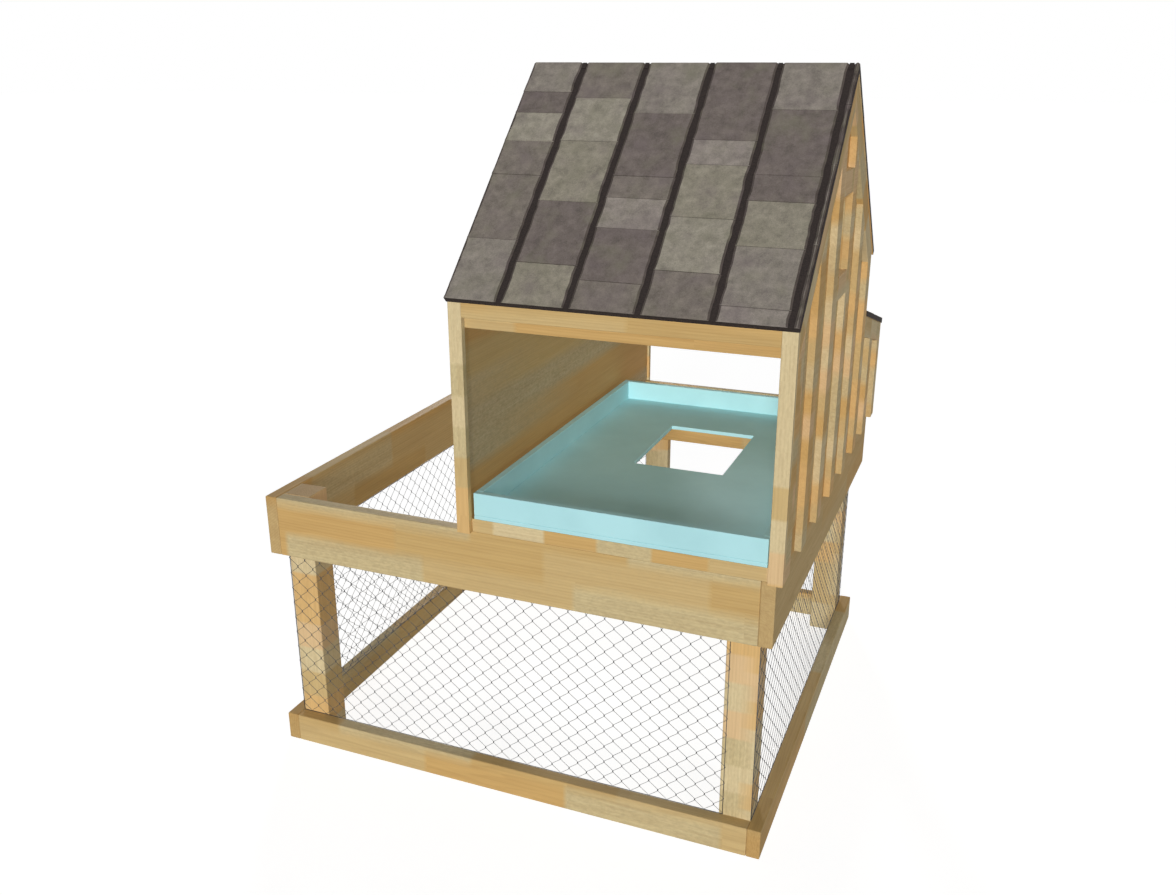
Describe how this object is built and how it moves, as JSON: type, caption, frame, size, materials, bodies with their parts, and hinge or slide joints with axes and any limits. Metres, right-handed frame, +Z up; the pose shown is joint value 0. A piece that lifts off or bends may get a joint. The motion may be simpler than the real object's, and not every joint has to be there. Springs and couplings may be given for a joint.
{
  "type": "small chicken coop",
  "caption": "Timber chicken coop: a netted run in a lumber frame, a gabled house above it with a slide-out clean-out tray and a hinged nest lid, and an open planter well beside it.",
  "frame": {"origin": "bottom centre of the whole coop's box, on the ground", "axes": "+Z up, +X to the right and +Y to the rear, seen from the open front"},
  "size_m": [1.546, 1.5242, 2.0355],
  "materials": {
    "frame_lumber": "bare softwood",
    "trim": "bare softwood boards",
    "plywood": "bare sanded plywood",
    "tray_paint": "satin paint on wood",
    "shingles": "mineral granules on asphalt",
    "netting": "galvanised",
    "hardware": "zinc plated"
  },
  "bodies": {
    "coop": {"base_rail_back": "frame_lumber", "base_rail_front": "frame_lumber", "base_rail_left": "frame_lumber", "base_rail_right": "frame_lumber", "bottom_rail_back": "trim", "bottom_rail_front": "trim", "frame_board_back": "frame_lumber", "frame_board_front": "frame_lumber", "frame_board_left": "frame_lumber", "frame_board_right": "frame_lumber", "frame_screws": "hardware", "header_trim_back": "trim", "header_trim_front": "trim", "house_joist": "frame_lumber", "lid_hinge_pins": "hardware", "lid_hinge_wall_leaves": "hardware", "nest_floor": "plywood", "post_back_left": "frame_lumber", "post_back_right": "frame_lumber", "post_front_left": "frame_lumber", "post_front_right": "frame_lumber", "rake_trim_front_left": "trim", "rake_trim_front_right": "trim", "rake_trim_nest_left": "trim", "rake_trim_nest_right": "trim", "rake_trim_rear_left": "trim", "rake_trim_rear_right": "trim", "rear_panel": "plywood", "rear_stud": "frame_lumber", "roof_deck_front": "plywood", "roof_deck_rear": "plywood", "roof_shingles_front": "shingles", "roof_shingles_rear": "shingles", "top_rail_back": "trim", "top_rail_front": "trim", "tray_runner_left": "frame_lumber", "tray_runner_right": "frame_lumber", "upright_back_left": "trim", "upright_back_right": "trim", "upright_front_left": "trim", "upright_front_right": "trim", "vent_head_trim": "trim", "vent_sill_trim": "trim", "wall_battens_left": "trim", "wall_battens_right": "trim", "wall_left": "plywood", "wall_right": "plywood", "wire_back": "netting", "wire_front": "netting", "wire_left": "netting", "wire_right": "netting"},
    "tray": {"tray_bottom": "tray_paint", "tray_rim_back": "tray_paint", "tray_rim_front": "tray_paint", "tray_rim_left": "tray_paint", "tray_rim_right": "tray_paint"},
    "lid": {"nest_lid": "plywood", "nest_lid_shingles": "shingles", "lid_hinge_lid_leaves": "hardware"}
  },
  "joints": [
    {"name": "tray_slide", "type": "slide", "parent": "coop", "child": "tray", "axis": [0, -1, 0], "range_m": [0, 1.22]},
    {"name": "nest_lid_hinge", "type": "hinge", "parent": "coop", "child": "lid", "pos_m": [0, 0.35638, 1.29693], "axis": [1, 0, 0], "range_deg": [0, 90]}
  ]
}
